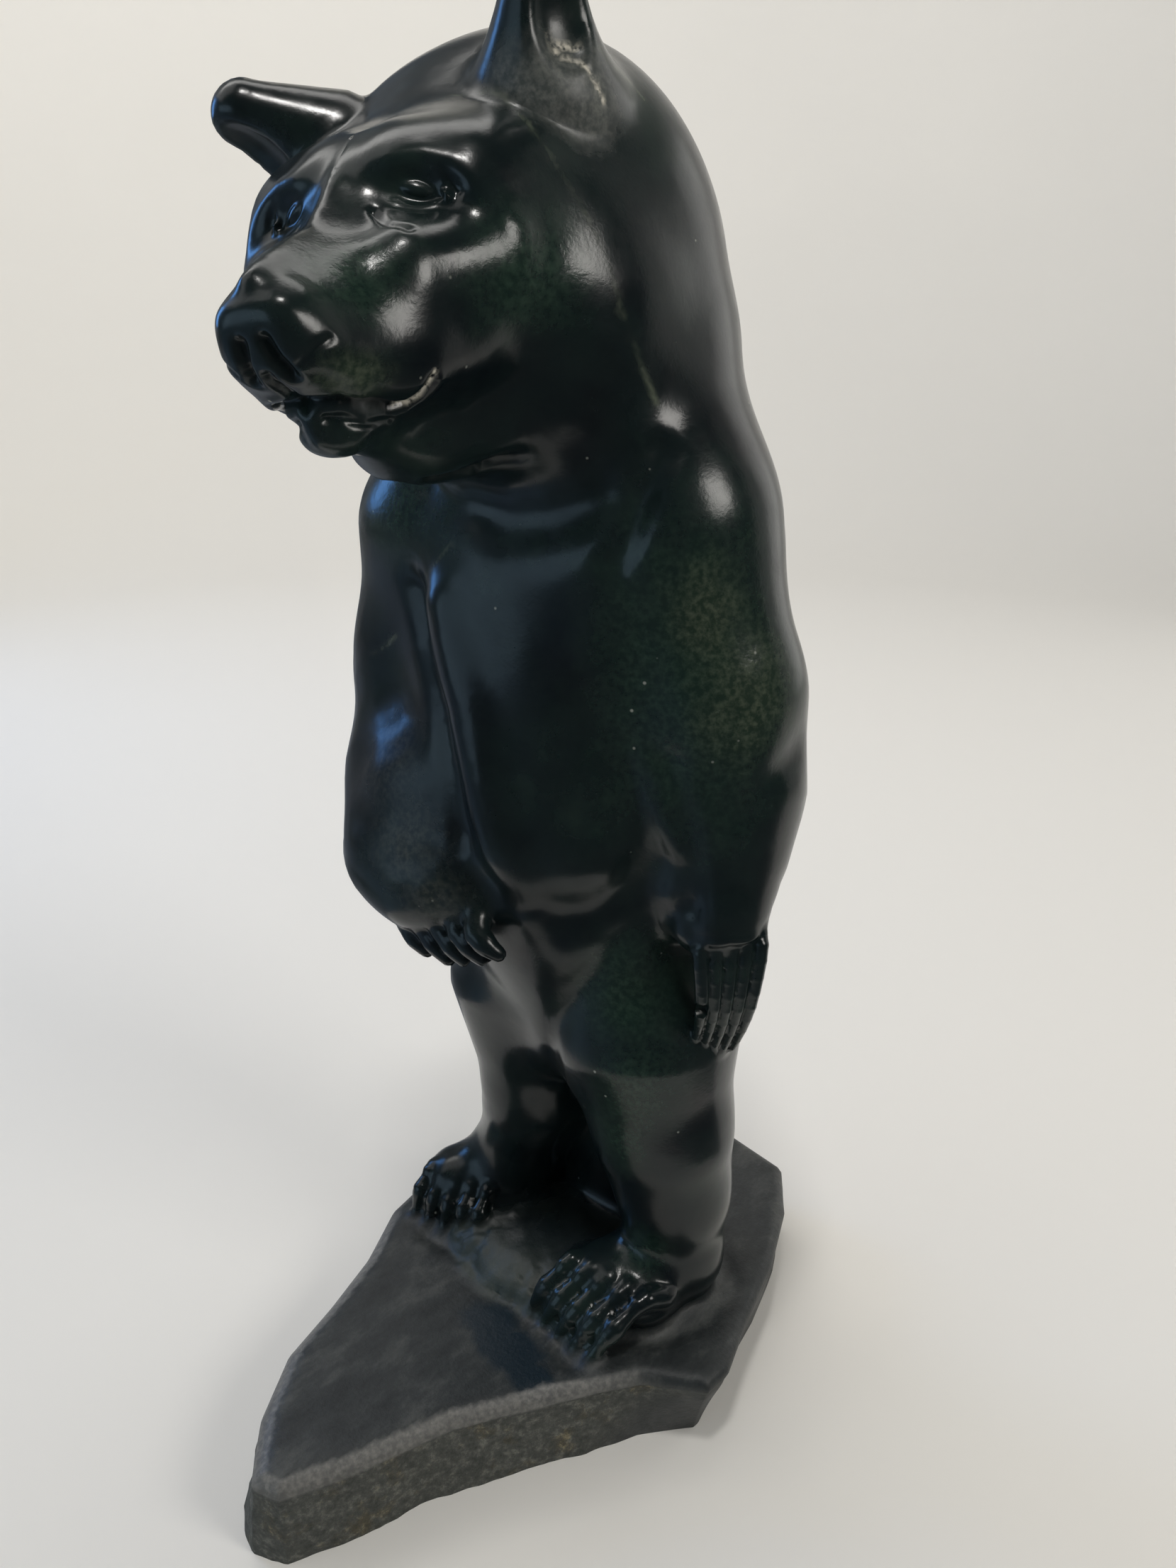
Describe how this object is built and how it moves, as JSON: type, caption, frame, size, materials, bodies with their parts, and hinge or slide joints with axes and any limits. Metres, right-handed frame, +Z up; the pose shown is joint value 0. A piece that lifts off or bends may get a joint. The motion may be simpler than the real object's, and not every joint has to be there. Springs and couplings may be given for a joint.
{
  "type": "jade bear carving",
  "caption": "Polished dark green jade carving of a bear standing upright on a leaf-shaped slab of the same stone.",
  "frame": {"origin": "middle of the carving's plan box, on the flat underside of the slab", "axes": "+Z up along the standing bear, -Y the way its body faces, +X its own left side"},
  "size_m": [0.1386, 0.1976, 0.3745],
  "materials": {
    "jade": "polished, nearly black green jade with mottled olive patches; the slab's top is ground matt and its sides are raw"
  },
  "bodies": {
    "root": {"bear_carving": "jade"}
  },
  "joints": []
}
